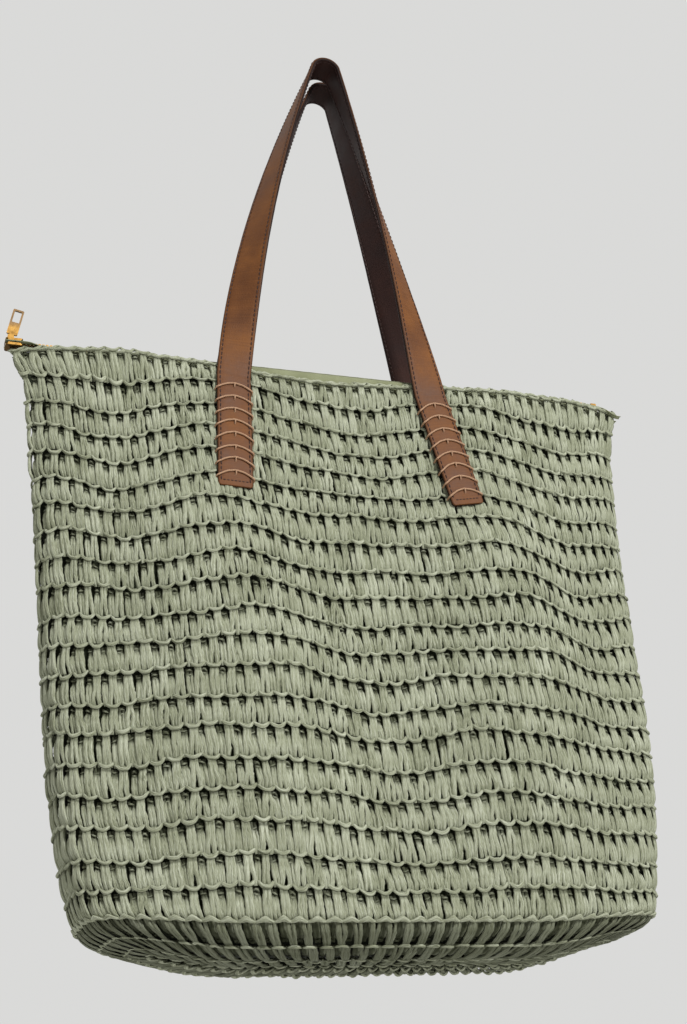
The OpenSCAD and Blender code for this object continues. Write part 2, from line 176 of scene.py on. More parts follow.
def drape(f, v):
    """How hanging moves the cloth: the front sinks in between the handles and swells below them."""
    turn = 2 * np.pi * f / ROUND
    s = np.clip(v / (RIM_Z - SEAM_Z), 0, 1)
    facing = np.sin(turn)
    front, back = ease(facing / 0.5), ease(-facing / 0.5)
    x = (f % ROUND - ROUND / 4) * PITCH
    wave = np.cos(2 * np.pi * (x - WAVE_X) / WAVE_WIDTH)
    deep = 1 - np.exp(-s / 0.16)
    upper = ease((s - 0.62) / 0.15)
    rim = ease((s - 0.93) / 0.07)
    out = (-8 * wave * deep * (1 - upper) - 1.5 * upper * (1 + wave)) * (1 - ease((s - 0.88) / 0.12))
    up = mix(-3.5 - wave * deep * (3 + 4 * upper), -RIM_SAG * np.exp(-((x + 10) / 85) ** 2), rim)
    gather = 8 * np.exp(-((s - 0.71) / 0.10) ** 2) + 4 * np.exp(-((s - 0.42) / 0.16) ** 2)
    up = up + gather * np.exp(-((x - WAVE_X) / 50) ** 2)
    rear = 4 * np.sin(2 * np.pi * f / 19 + 3 * s) * deep * (1 - ease((s - 0.6) / 0.2))
    small = np.sin(np.pi * s) * (1.2 * np.sin(7 * turn - 5 * s))
    return (out * front + rear * back + small,
            up * front + (np.sin(np.pi * s) * 1.8 * np.sin(9 * turn + 9 * s)) * np.clip(s * 6, 0, 1))


def stretch(points):
    """The zip pulls the rim's tips out, the lower body swells sideways and the base's ends ride up."""
    x, y, z = (points[..., k] for k in range(3))
    share = np.abs(x) / (RIM_W / 2)
    tips = np.where(x > 0, 0.030, 0.042) * share ** 6 * np.exp(-((RIM_Z - z) / 18) ** 2)
    swell = np.where(x > 0, 0.056, 0.040) * np.clip(share, 0, 1) ** 3
    swell = swell * np.exp(-((z - 115) / np.where(z > 115, 110, 70)) ** 2)
    low = np.exp(-np.maximum(z, 0) / 16)
    ends = np.where(x > 0, 0.10, 0.14) * np.clip(np.abs(x) / (BASE_W / 2), 0, 1.1) ** 6 * low
    lift = np.where(x > 0, 15, 11) * ease((np.abs(x) - 80) / 90) * low
    return np.stack([x * (1 + tips + swell - ends), y, z + lift], -1)


def wall(f, v, off, out=1, up=1):
    """Points at f stitches round the bag, v mm up from the seam and off mm out from the CAD's face."""
    f, v, off = np.broadcast_arrays(np.asarray(f, float), np.asarray(v, float), np.asarray(off, float))
    moved_out, moved_up = drape(f, v)
    v, off = v + moved_up * up, off + moved_out * out
    u = (f / ROUND % 1) * ROUND_SAMPLES
    i = np.floor(u).astype(int)
    a = (u - i)[..., None]
    i, j = i % ROUND_SAMPLES, (i + 1) % ROUND_SAMPLES
    w = np.clip((v - V_LOW) / V_STEP, 0, len(WALL_PLACE) - 1.001)
    k = np.floor(w).astype(int)
    b = (w - k)[..., None]

    def sample(grid):
        low = grid[k, i] * (1 - a) + grid[k, j] * a
        return low * (1 - b) + (grid[k + 1, i] * (1 - a) + grid[k + 1, j] * a) * b

    normal = sample(WALL_NORMAL)
    normal /= np.linalg.norm(normal, axis=-1, keepdims=True)
    return stretch(sample(WALL_PLACE) + normal * off[..., None])


# -------------------------------------------------- meshes


def put_mesh(name, points, faces, material, body="bag", attributes=None, smooth=True):
    mesh = bpy.data.meshes.new(name)
    mesh.from_pydata((np.asarray(points) * MM).tolist(), [], np.asarray(faces).tolist()
                     if isinstance(faces, np.ndarray) else faces)
    for key, values in (attributes or {}).items():
        kind = "FLOAT" if values.ndim == 1 else "FLOAT_VECTOR"
        layer = mesh.attributes.new(key, kind, "POINT")
        layer.data.foreach_set("value" if kind == "FLOAT" else "vector", values.astype(np.float32).ravel())
    mesh.polygons.foreach_set("use_smooth", [smooth] * len(mesh.polygons))
    mesh.materials.append(material)
    piece = bpy.data.objects.new(name, mesh)
    bpy.context.collection.objects.link(piece)
    if body:
        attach(piece, body)
    return piece


def grid_faces(rows, columns, closed=False):
    """Quads of a grid of points, rows by columns; closed joins the last column to the first."""
    last = columns if closed else columns - 1
    r, c = np.meshgrid(np.arange(rows - 1), np.arange(last), indexing="ij")
    d = (c + 1) % columns
    return np.stack([r * columns + c, r * columns + d, (r + 1) * columns + d, (r + 1) * columns + c],
                    -1).reshape(-1, 4)


def curve_through(points, count):
    """A Catmull-Rom curve through given points, sampled evenly in its parameter."""
    p = np.asarray(points, float)
    p = np.concatenate([[2 * p[0] - p[1]], p, [2 * p[-1] - p[-2]]])
    t = np.linspace(0, len(p) - 3 - 1e-9, count)
    k = t.astype(int)
    s = (t - k)[:, None]
    a, b, c, d = p[k], p[k + 1], p[k + 2], p[k + 3]
    square, cube = 2 * a - 5 * b + 4 * c - d, 3 * b - a - 3 * c + d
    return 0.5 * (2 * b + (c - a) * s + square * s ** 2 + cube * s ** 3)


def tube(points, half_w, half_t, sides, out=(0, 0, 1)):
    """A strand swept along points: elliptical, half_w to the side and half_t outward."""
    p = np.asarray(points, float)
    n = len(p)
    tangent = np.gradient(p, axis=0)
    tangent /= np.linalg.norm(tangent, axis=1, keepdims=True)
    out = np.broadcast_to(np.asarray(out, float), p.shape)
    side = np.cross(tangent, out)
    side /= np.linalg.norm(side, axis=1, keepdims=True)
    lift = np.cross(side, tangent)
    angle = 2 * np.pi * np.arange(sides) / sides
    half_w = np.broadcast_to(half_w, n)[:, None, None]
    half_t = np.broadcast_to(half_t, n)[:, None, None]
    verts = (p[:, None] + side[:, None] * half_w * np.cos(angle)[None, :, None]
             + lift[:, None] * half_t * np.sin(angle)[None, :, None]).reshape(-1, 3)
    faces = grid_faces(n, sides, True)[:, ::-1]
    around = np.tile(angle, n)
    along = np.repeat(np.concatenate([[0], np.cumsum(np.linalg.norm(np.diff(p, axis=0), axis=1))]), sides)
    return verts, faces, np.stack([np.cos(around) * np.repeat(half_w[:, 0, 0], sides), along,
                                   np.sin(around)], 1)


def join(parts):
    """One set of points, quads and strand coordinates from several."""
    verts, faces, strands, start = [], [], [], 0
    for v, f, s in parts:
        verts.append(v)
        faces.append(f + start)
        strands.append(s)
        start += len(v)
    return np.concatenate(verts), np.concatenate(faces), np.concatenate(strands)


# -------------------------------------------------- materials


class Shader:
    """A node material with a few short helpers."""

    def __init__(self, name, **sockets):
        self.material = bpy.data.materials.new(name)
        self.material.use_nodes = True
        self.tree = self.material.node_tree
        self.main = self.tree.nodes["Principled BSDF"]
        self.set(**sockets)

    def set(self, **sockets):
        for key, value in sockets.items():
            self.main.inputs[key.replace("_", " ")].default_value = value

    def node(self, kind, inputs=None, **settings):
        made = self.tree.nodes.new(kind)
        for key, value in settings.items():
            setattr(made, key, value)
        for key, value in (inputs or {}).items():
            if isinstance(value, bpy.types.NodeSocket):
                self.tree.links.new(value, made.inputs[key])
            else:
                made.inputs[key].default_value = value
        return made

    def attribute(self, name):
        return self.node("ShaderNodeAttribute", attribute_name=name)

    def place(self, scale=(1, 1, 1), source=None):
        source = source or self.node("ShaderNodeTexCoord").outputs["Object"]
        return self.node("ShaderNodeMapping", {"Vector": source, "Scale": scale}).outputs["Vector"]

    def noise(self, vector, scale, detail=3.0, rough=0.55):
        return self.node("ShaderNodeTexNoise", {"Vector": vector, "Scale": scale, "Detail": detail,
                                                "Roughness": rough}).outputs["Fac"]

    def ramp(self, fac, *stops):
        made = self.node("ShaderNodeValToRGB", {"Fac": fac})
        made.color_ramp.elements[0].position, made.color_ramp.elements[1].position = stops[0][0], stops[-1][0]
        made.color_ramp.elements[0].color, made.color_ramp.elements[1].color = stops[0][1], stops[-1][1]
        for position, color in stops[1:-1]:
            made.color_ramp.elements.new(position).color = color
        return made.outputs["Color"]

    def blend(self, fac, a, b, kind="MIX"):
        made = self.node("ShaderNodeMix", data_type="RGBA", blend_type=kind)
        for key, value in (("Factor", fac), ("A", a), ("B", b)):
            socket = next(s for s in made.inputs if s.name == key and
                          (s.type == "VALUE" if key == "Factor" else s.type == "RGBA"))
            if isinstance(value, bpy.types.NodeSocket):
                self.tree.links.new(value, socket)
            else:
                socket.default_value = value
        return next(s for s in made.outputs if s.type == "RGBA")

    def math(self, operation, a, b=0.0):
        made = self.node("ShaderNodeMath", operation=operation)
        for k, value in enumerate((a, b)):
            if isinstance(value, bpy.types.NodeSocket):
                self.tree.links.new(value, made.inputs[k])
            else:
                made.inputs[k].default_value = value
        return made.outputs[0]

    def bump(self, height, strength, distance):
        made = self.node("ShaderNodeBump", {"Height": height, "Strength": strength, "Distance": distance})
        self.tree.links.new(made.outputs["Normal"], self.main.inputs["Normal"])

    def link(self, source, name):
        self.tree.links.new(source, self.main.inputs[name])


def rgb(r, g, b):
    """A colour given as it looks on screen, 0 to 255, in the linear values that Blender uses."""
    shares = (c / 255 for c in (r, g, b))
    return tuple(((c + 0.055) / 1.055) ** 2.4 if c > 0.04 else c / 12.92 for c in shares) + (1.0,)


def straw_material():
    """Twisted paper straw: pleats and fibres along the strand; painted shade darkens the depths, the ridges
    stay pale.
    """
    s = Shader("paper_straw", Roughness=0.85)
    s.set(**{"Specular_IOR_Level": 0.2})
    strand = s.attribute("strand").outputs["Vector"]
    tint = s.attribute("tint").outputs["Fac"]
    pleats = s.noise(s.place((1.5, 0.10, 0.9), strand), 1.0, 2.0, 0.6)
    fibres = s.noise(s.place((4.2, 0.30, 1.5), strand), 1.0, 3.0, 0.7)
    patches = s.noise(s.place((0.30, 0.30, 0.3), strand), 1.0, 2.0)
    streaks = s.math("ADD", s.math("MULTIPLY", pleats, 0.5), s.math("MULTIPLY", fibres, 0.5))
    base = s.ramp(s.math("ADD", s.math("MULTIPLY", streaks, 0.93), s.math("MULTIPLY", tint, 0.07)),
                  (0.34, rgb(74, 78, 54)), (0.42, rgb(134, 138, 112)), (0.52, rgb(165, 169, 145)),
                  (0.66, rgb(204, 208, 187)))
    warm = s.blend(s.math("MULTIPLY", patches, 0.25), base, rgb(162, 164, 140))
    # deep is painted shade from stitch_shade: it blends the straw towards dark olive in the holes, under the
    # chains and on the base.
    deep = s.attribute("deep").outputs["Fac"]
    s.link(s.blend(deep, warm, rgb(38, 42, 18)), "Base Color")
    s.bump(s.math("ADD", pleats, s.math("MULTIPLY", fibres, 0.5)), 0.85, 0.0008)
    return s.material


def cloth_material(name, dark, light, threads=900.0, bump=0.4):
    """A plain woven cloth: crossed threads from two wave patterns, and slight unevenness."""
    s = Shader(name, Roughness=0.9)
    s.set(**{"Sheen_Weight": 0.15, "Specular_IOR_Level": 0.2})
    place = s.place()
    warp = s.node("ShaderNodeTexWave", {"Vector": place, "Scale": threads, "Distortion": 1.5},
                  bands_direction="X").outputs["Fac"]
    weft = s.node("ShaderNodeTexWave", {"Vector": place, "Scale": threads, "Distortion": 1.5},
                  bands_direction="Z").outputs["Fac"]
    weave = s.math("MULTIPLY", warp, weft)
    uneven = s.noise(place, 60.0, 4.0)
    s.link(s.ramp(s.math("ADD", s.math("MULTIPLY", weave, 0.5), s.math("MULTIPLY", uneven, 0.5)),
                  (0.2, dark), (0.75, light)), "Base Color")
    s.bump(weave, bump, 0.0003)
    return s.material


def leather_material(name, dark, mid, light, gloss):
    """Grained leather: pebbles, faint creases across the strap, darker worn edges."""
    s = Shader(name, Roughness=0.45)
    s.set(**{"Specular_IOR_Level": 0.3})
    place = s.place()
    pebbles = s.node("ShaderNodeTexVoronoi", {"Vector": place, "Scale": 1300.0},
                     feature="SMOOTH_F1").outputs["Distance"]
    tone = s.noise(place, 38.0, 5.0, 0.6)
    fine = s.noise(place, 500.0, 3.0)
    strand = s.attribute("strand").outputs["Vector"]
    creases = s.noise(s.place((0.03, 0.9, 0.0), strand), 1.0, 4.0, 0.65)
    body = s.ramp(s.math("ADD", s.math("MULTIPLY", tone, 0.7), s.math("MULTIPLY", creases, 0.3)),
                  (0.28, dark), (0.5, mid), (0.74, light))
    edge = s.attribute("edge").outputs["Fac"]
    s.link(s.blend(edge, body, tuple(0.35 * c for c in dark[:3]) + (1.0,)), "Base Color")
    s.link(s.ramp(s.math("ADD", tone, s.math("MULTIPLY", fine, 0.3)),
                  (0.3, (gloss, gloss, gloss, 1)), (0.9, (gloss + 0.22,) * 3 + (1,))), "Roughness")
    height = s.math("ADD", s.math("MULTIPLY", pebbles, 0.7), s.math("MULTIPLY", creases, 0.6))
    s.bump(height, 0.35, 0.0005)
    return s.material


def thread_material(name, dark, light):
    """Plied thread: slanting strands along the tube."""
    s = Shader(name, Roughness=0.6)
    strand = s.attribute("strand").outputs["Vector"]
    twist = s.node("ShaderNodeTexWave", {"Vector": s.place((1.6, 1.1, 0.8), strand), "Scale": 0.8,
                                         "Distortion": 0.6}, bands_direction="DIAGONAL").outputs["Fac"]
    fuzz = s.noise(s.place(), 900.0, 3.0)
    s.link(s.ramp(s.math("ADD", s.math("MULTIPLY", twist, 0.6), s.math("MULTIPLY", fuzz, 0.4)),
                  (0.25, dark), (0.7, light)), "Base Color")
    s.bump(twist, 0.6, 0.0003)
    return s.material


def brass_material(name, dark, light, dark_above=None):
    """Brass with fine scratches and some tarnish; dark_above (metres) bronzes what is higher."""
    s = Shader(name, Metallic=1.0, Roughness=0.3)
    place = s.place()
    tarnish = s.noise(place, 160.0, 5.0, 0.65)
    scratches = s.noise(s.place((1.0, 1.0, 0.08)), 2400.0, 2.0)
    color = s.ramp(tarnish, (0.35, dark), (0.62, light))
    if dark_above is not None:
        height = s.node("ShaderNodeSeparateXYZ", {"Vector": place}).outputs["Z"]
        fade = s.node("ShaderNodeMapRange", {"Value": height, "From Min": dark_above - 0.002,
                                             "From Max": dark_above + 0.002}).outputs["Result"]
        color = s.blend(fade, color, rgb(88, 70, 48))
    s.link(color, "Base Color")
    s.link(s.ramp(s.math("ADD", s.math("MULTIPLY", tarnish, 0.6), s.math("MULTIPLY", scratches, 0.4)),
                  (0.3, (0.32,) * 3 + (1,)), (0.7, (0.52,) * 3 + (1,))), "Roughness")
    s.bump(scratches, 0.15, 0.0001)
    return s.material


STRAW = straw_material()
LINING = cloth_material("lining_cotton", rgb(26, 31, 16), rgb(52, 58, 36), 700.0)
TAPE = cloth_material("zip_tape_weave", rgb(120, 124, 92), rgb(168, 171, 138), 520.0)
SADDLE = leather_material("saddle_leather", rgb(78, 42, 15), rgb(104, 61, 23), rgb(128, 79, 32), 0.5)
BACKING = leather_material("backing_leather", rgb(32, 13, 9), rgb(44, 21, 15), rgb(60, 31, 21), 0.6)
LACE = thread_material("waxed_lace", rgb(150, 110, 82), rgb(208, 168, 134))
DARK_THREAD = thread_material("dark_thread", rgb(40, 22, 18), rgb(74, 44, 36))
BRASS = brass_material("zip_brass", rgb(84, 60, 28), rgb(136, 104, 52))

# -------------------------------------------------- crochet

ROWS = 20
ROW = (RIM_Z - SEAM_Z) / ROWS
BASE_ROWS = ((-17, 92), (-34.5, 82), (-50, 70))   # lower edge of each round of the base, and its stitches
VARIANTS, WISPS = 12, 2       # different stitches, and the short strands across each hole
POST_HALF = 0.33              # half of a post's width, in stitches
STITCH_DEPTH = 1.7            # how far the stitches' zero level lies inside the CAD's face
rng = np.random.default_rng(7)


def row_edges():
    """Heights of the chain ridges above the seam, from the seam to the rim, a little uneven."""
    edges = np.arange(ROWS + 1) * ROW
    edges[1:-1] += 0.7 * np.sin(np.arange(1, ROWS) * 2.4)
    return edges


def strand_of(points, half_w, half_t, count=9, sides=8):
    """One strand of the stitch pattern: x in stitches, y in rows, z in mm; widths in mm along the path."""
    path = curve_through(points, count)
    at = np.linspace(0, 1, len(half_w))
    widths = np.interp(np.linspace(0, 1, count), at, half_w)
    thick = np.interp(np.linspace(0, 1, count), at, half_t)
    scaled = path * (PITCH, ROW, 1)
    verts, faces, strand = tube(scaled, widths, thick, sides)
    return verts / (PITCH, ROW, 1), faces, strand


def stitch_pattern(variant):
    """One stitch: a post of two legs, strands sunk between posts, a scalloped chain and wisps below it."""
    def j(size):
        return variant.uniform(-size, size)

    parts = []
    for side in (-1, 1):
        a, b, c = j(0.03), j(0.05), j(0.06)
        lift, wide = 0.9 + j(0.25), 1.4 + j(0.2)
        leg = [(side * 0.06, 1.01, -0.8), (side * 0.10 + a, 0.90, 0.0), (side * 0.11 + a, 0.74, lift * 0.8),
               (side * 0.14 + 0.02 + b, 0.46, lift + 0.15), (side * 0.16 + 0.05 + c, 0.22, lift),
               (side * 0.18 + 0.09 + c, -0.02, -0.5)]
        widths = [1.2, 1.35, wide, wide + 0.1, wide + 0.15 + j(0.2), 1.2]
        parts.append(strand_of(leg, widths, [0.7, 0.8, 0.85, 0.85, 0.8, 0.7], 18, 8))
        at, c = -0.5 + side * 0.11 + j(0.03), j(0.06)
        sunk = [(at, 0.91, -2.3), (at + c, 0.71, -1.8), (at + c, 0.55, -0.3),
                (at + c + 0.03, 0.28, 0.3 + j(0.3)), (at + 0.12, -0.02, -0.6)]
        widths = [0.9, 1.1, 1.35 + j(0.2), 1.4 + j(0.2), 0.9]
        parts.append(strand_of(sunk, widths, [0.6, 0.7, 0.75, 0.75, 0.6], 13, 8))
    dip = 0.90 + j(0.03)
    chain = [(-0.60, 1.05, -1.2), (-0.46, 1.07, -0.4), (-0.25, dip + 0.055, 0.9),
             (0.03 + j(0.06), dip, 1.4 + j(0.25)), (0.27, dip + 0.06, 1.0), (0.46, 1.075, -0.3),
             (0.62, 1.06, -1.1)]
    widths = [0.5, 0.8, 1.1, 1.25 + j(0.25), 1.1, 0.8, 0.5]
    parts.append(strand_of(chain, widths, [0.5, 0.65, 0.8, 0.85, 0.8, 0.65, 0.5], 12))
    for k in range(WISPS):
        level = 0.78 - 0.13 * k + j(0.05)
        wisp = [(-0.68, level + j(0.05), -1.4), (-0.52, level + j(0.04), -0.7 + j(0.4)),
                (-0.34, level + j(0.05), -1.4)]
        parts.append(strand_of(wisp, [0.5, 0.7 + j(0.2), 0.5], [0.5, 0.6, 0.5], 6, 6))
    return join(parts)


def column_drift(f):
    """How far the columns lean per row, in stitches."""
    return -0.08 - 0.09 * np.cos(2 * np.pi * f / ROUND)


def stitch_shade(local, base):
    """Painted shade for each point of the stitches: darker in the holes, under the chains, and more so on the
    base.
    """
    between = np.abs(local[..., 0]) > POST_HALF
    # painted shade in the holes: the deeper a strand lies, the darker it is
    inner = np.clip(0.28 - local[..., 2] * 0.46, 0, 0.80)
    # painted shadow under each chain ridge, of random strength
    painted_ridge_shadow = rng.normal(0.58, 0.15, (len(local), 1)) * np.exp(-((local[..., 1] - 0.82) / 0.045) ** 2)
    ridge_on_top = (local[..., 2] > 0.8) & (local[..., 1] > 0.86)
    deep = np.where(ridge_on_top, 0, np.maximum(inner, painted_ridge_shadow))
    # painted shade on the base rows, heavier between the posts than on them
    if base:
        deep = np.maximum(deep, np.where(ridge_on_top, 0.05, np.where(between, 0.86, 0.54)))
    return np.clip(deep, 0, 0.92).ravel()


def crochet_row(name, v0, v1, row, count, base=False):
    """A round of stitches between two heights of the wall, as one piece."""
    variants = [stitch_pattern(np.random.default_rng(100 + k)) for k in range(VARIANTS)]
    faces, strand = variants[0][1], variants[0][2]
    local = np.stack([v[0] for v in variants])[rng.integers(0, VARIANTS, count)]
    n = local.shape[1]
    lean = rng.normal(0, 0.07, (count, 1))
    wide = rng.normal(1, 0.07, (count, 1))
    depth = rng.normal(1, 0.13, (count, 1))
    shift = rng.normal(0, 0.04, (count, 2))
    wobble = rng.normal(0, 0.014, (count, n))
    x = local[..., 0] * wide + lean * (0.5 - local[..., 1]) + shift[:, :1] + wobble
    near_chain = np.clip(np.abs(local[..., 1] - 0.5) * 2 - 0.6, 0, 1)
    x = mix(x, local[..., 0] + shift[:, :1] * 0.4, np.clip(near_chain * 3, 0, 1) * 0.6)
    y = local[..., 1] + shift[:, 1:] * 0.4
    f = (np.arange(count)[:, None] + 0.5 + x) * ROUND / count
    f = f + row * column_drift(f) + 0.13 * math.sin(row * 2.1)
    if base:
        f = f + 0.5
    flow = 0.04 * np.sin(2 * np.pi * f / 23 + row * 0.9) + 0.035 * np.sin(2 * np.pi * f / 5.75 + row * 2.3)
    v = v0 + (v1 - v0) * (y + flow * np.clip(2 * y, 0, 1) * (not base))
    off = local[..., 2] * depth - STITCH_DEPTH
    if base:
        off = off - (np.abs(local[..., 0]) > POST_HALF) * (local[..., 1] < 0.9)
    points = wall(f, v, off).reshape(-1, 3)
    all_faces = (faces[None] + (np.arange(count) * n)[:, None, None]).reshape(-1, 4)
    strands = np.tile(strand, (count, 1)) + np.repeat(rng.uniform(0, 90, (count, 3)), n, 0)
    tint = np.repeat(rng.uniform(0, 1, count), n)
    # the deep attribute holds the painted shade of the stitches
    return put_mesh(name, points, all_faces, STRAW,
                    attributes={"strand": strands, "tint": tint, "deep": stitch_shade(local, base)})


def make_crochet():
    edges = row_edges()
    for k in range(ROWS):
        row = ROWS - 1 - k
        piece = crochet_row(f"crochet_row_{row + 1:02d}", edges[k], edges[k + 1], row, ROUND)
    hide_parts("crochet_front", "crochet_back", "crochet_left_side", "crochet_right_side")
    top = 0.0
    for k, (low, count) in enumerate(BASE_ROWS):
        piece = crochet_row(f"base_row_{k + 1}", top, low, ROWS + k, count, True)
        top = low
    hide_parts("crochet_base_edge", "crochet_base")


def make_seam_chain():
    """The chain round the base: one plump, pointed loop over each stitch."""
    steps = 9
    parts = []
    for k in range(ROUND):
        wide, high = rng.normal(1, 0.07), rng.normal(1, 0.12)
        path = curve_through([(-0.60, -0.8, -0.8), (-0.30, 0.1, 0.7), (0.02, 1.3 * high, 1.3),
                              (0.34, 0.0, 0.8), (0.62, -0.9, -0.8)], steps)
        widths = np.interp(np.linspace(0, 1, steps), [0, 0.3, 0.5, 0.7, 1], [0.7, 1.2, 1.7, 1.2, 0.7])
        flat, faces, strand = tube(path * (PITCH * wide, 1.0, 1.0), widths, widths * 0.62, 8)
        at = k + 0.5 + rng.normal(0, 0.04) + ROWS * column_drift(k)
        points = wall(at + flat[:, 0] / PITCH, flat[:, 1] + 0.3, flat[:, 2] - 0.6)
        parts.append((points, faces, strand + rng.uniform(0, 90, 3)))
    points, faces, strand = join(parts)
    piece = put_mesh("base_seam_stitches", points, faces, STRAW, attributes={
        "strand": strand, "tint": np.full(len(points), 0.75), "deep": np.zeros(len(points))})
    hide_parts("base_seam_chain")


def make_rim_cord():
    """The last chain along the rim, smooth and lying over the top of the first row."""
    f = np.linspace(0, ROUND, ROUND * 8, endpoint=False)
    beat = np.sin(2 * np.pi * f)
    sides, level = 10, RIM_Z - SEAM_Z - 0.8
    ring = wall(f, level + 0.3 * beat, -STITCH_DEPTH)
    angle = 2 * np.pi * np.arange(sides) / sides
    swell = (0.78 + 0.17 * beat)[:, None]
    above = np.array([0, 0, 1.0])
    outward = wall(f, level, 1 - STITCH_DEPTH) - wall(f, level, -STITCH_DEPTH)
    points = (ring[:, None] + outward[:, None] * (1.9 * swell * np.cos(angle))[..., None]
              + above * (1.35 * swell * np.sin(angle))[..., None]).reshape(-1, 3)
    faces = grid_faces(len(f), sides, True)
    last = (len(f) - 1) * sides
    wrap = np.array([[last + a, last + (a + 1) % sides, (a + 1) % sides, a] for a in range(sides)])
    strand = np.stack([np.tile(np.cos(angle), len(f)) * 2, np.repeat(f * PITCH, sides),
                       np.tile(np.sin(angle), len(f))], 1)
    put_mesh("rim_cord", points, np.concatenate([faces, wrap])[:, ::-1], STRAW,
             attributes={"strand": strand, "tint": np.full(len(points), 0.6), "deep": np.zeros(len(points))})


def make_lining():
    """A dark cotton bag inside, slightly rumpled, from the facing down to the base."""
    f = np.linspace(0, ROUND, 336, endpoint=False)
    v = np.concatenate([np.linspace(352, 0, 60), np.linspace(-6, -44, 9)])
    ff, vv = np.meshgrid(f, v)
    rumple = 0.5 * np.sin(ff * 0.9 + vv * 0.05) * np.sin(vv * 0.045 + 1) + 0.35 * np.sin(ff * 2.3 - vv * 0.09)
    points = wall(ff, vv, -5.6 + rumple * 0.6, up=0).reshape(-1, 3)
    faces = grid_faces(len(v), len(f), True)
    floor = [list(range((len(v) - 1) * len(f), len(v) * len(f)))]
    piece = put_mesh("lining_bag", points, faces.tolist() + floor, LINING)
    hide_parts("lining_front", "lining_back", "lining_left_side", "lining_right_side", "lining_base")


make_crochet()
make_seam_chain()
make_rim_cord()
make_lining()

# -------------------------------------------------- leather handles

ON_FACE = 0.5                         # lift of the sewn end off the crochet
GAP = 0.3                             # clearance between the strap and what it lies next to
FACE_SLOPE = math.atan((half_depth(FOLD_Z - TAB_L) - half_depth(FOLD_Z)) / TAB_L)
FACE_ORIGIN = np.array([0, -half_depth(FOLD_Z) - ON_FACE, FOLD_Z - GAP])
FACE_X = np.array([1.0, 0, 0])
FACE_UP = np.array([0, math.sin(FACE_SLOPE), math.cos(FACE_SLOPE)])
FACE_OUT = np.array([0, -math.cos(FACE_SLOPE), math.sin(FACE_SLOPE)])
STRAP_HALF = STRAP_W / 2
BEND_STEPS = 25                       # points along the strap's bend at the top
CORNER = 2.2                          # radius of the strap's corners
LACE_TOP, LACE_LOW, LACE_RISE, LACE_R = 11, 6.6, 4.5, 0.62


def tab_point(k, up, across, out):
    """A point on sewn end k: up from the fold (negative below), across from its middle, out from the face."""
    tilt = math.radians(TAB_TILT[k])
    x = TAB_X[k] + up * math.sin(tilt) + across * math.cos(tilt)
    y = up * math.cos(tilt) - across * math.sin(tilt)
    return (FACE_ORIGIN + np.multiply.outer(x, FACE_X) + np.multiply.outer(y, FACE_UP)
            + np.multiply.outer(out, FACE_OUT))


def leg_path(k, steps):
    """Middle of the strap from the fold up to the bend, and the share of the quarter turn made there."""
    side = (-1, 1)[k]
    lean = math.radians(ARC_LEAN)
    end = np.array([APEX_X + side * APEX_R * math.cos(lean), APEX_Z - APEX_R + APEX_R * math.sin(lean)])
    start = np.array([TAB_X[k], FOLD_Z + GAP])
    bow = (start + end) / 2 + (side * 2 * LEG_BOW[k], 0)
    s = np.linspace(0, 1, steps)[:, None]
    xz = (1 - s) ** 2 * start + 2 * s * (1 - s) * bow + s * s * end
    y = mix(-(half_depth(FOLD_Z) + GAP + PLY_T), -APEX_Y, s[:, 0])
    return np.stack([xz[:, 0], y, xz[:, 1]], 1), s[:, 0] ** 0.75 * (1 - np.exp(-s[:, 0] / 0.08))


def strap_line():
    """Places, widthwise and outward directions along the strap, from one sewn end to the other."""
    tab_up = -np.concatenate([TAB_L - np.array([0, 0.25, 0.7, 1.4, 2.4]), np.arange(TAB_L - 4, 0.4, -1.2)])
    arc = np.radians(np.linspace(180 - ARC_LEAN, ARC_LEAN, BEND_STEPS + 2)[1:-1])
    bend = np.stack([APEX_X + APEX_R * np.cos(arc), np.full(BEND_STEPS, -APEX_Y),
                     APEX_Z - APEX_R + APEX_R * np.sin(arc)], 1)
    (left, left_turn), (right, right_turn) = leg_path(0, 150), leg_path(1, 150)
    tabs = [tab_point(k, tab_up, 0 * tab_up, 0 * tab_up + PLY_T) for k in (0, 1)]
    place = np.concatenate([tabs[0], left, bend, right[::-1], tabs[1][::-1]])
    turn = np.concatenate([0 * tab_up, left_turn, np.ones(BEND_STEPS), right_turn[::-1], 0 * tab_up])
    turn = turn * np.pi / 2
    tangent = np.gradient(place, axis=0)
    for _ in range(4):
        tangent[1:-1] = (tangent[:-2] + 2 * tangent[1:-1] + tangent[2:]) / 4
    tangent /= np.linalg.norm(tangent, axis=1, keepdims=True)
    flat = np.array([0, -1.0, 0]) + tangent * tangent[:, 1:2]
    flat /= np.linalg.norm(flat, axis=1, keepdims=True)
    out = np.cos(turn)[:, None] * flat + np.sin(turn)[:, None] * np.cross(flat, tangent)
    across = np.cross(tangent, out)
    along = np.concatenate([[0], np.cumsum(np.linalg.norm(np.diff(place, axis=0), axis=1))])
    return along, place, across, out


STRAP_ALONG, STRAP_PLACE, STRAP_ACROSS, STRAP_OUT = strap_line()
STRAP_LENGTH = STRAP_ALONG[-1]


def to_back(points):
    return points * (1, -1, 1) + (BACK_SHIFT, 0, 0)


def on_strap(along, across, out, mirror=False):
    """Points given along the strap, across it and out from the middle between its plies."""
    def pick(grid):
        return np.stack([np.interp(along, STRAP_ALONG, grid[:, k]) for k in range(3)], -1)

    points = pick(STRAP_PLACE) + pick(STRAP_ACROSS) * across[..., None] + pick(STRAP_OUT) * out[..., None]
    return to_back(points) if mirror else points


def lace_depth(i):
    """Distance below the fold of lacing stitch i at the strap's edges."""
    return LACE_TOP + i * (TAB_L - LACE_TOP - LACE_LOW) / (LACES - 1)


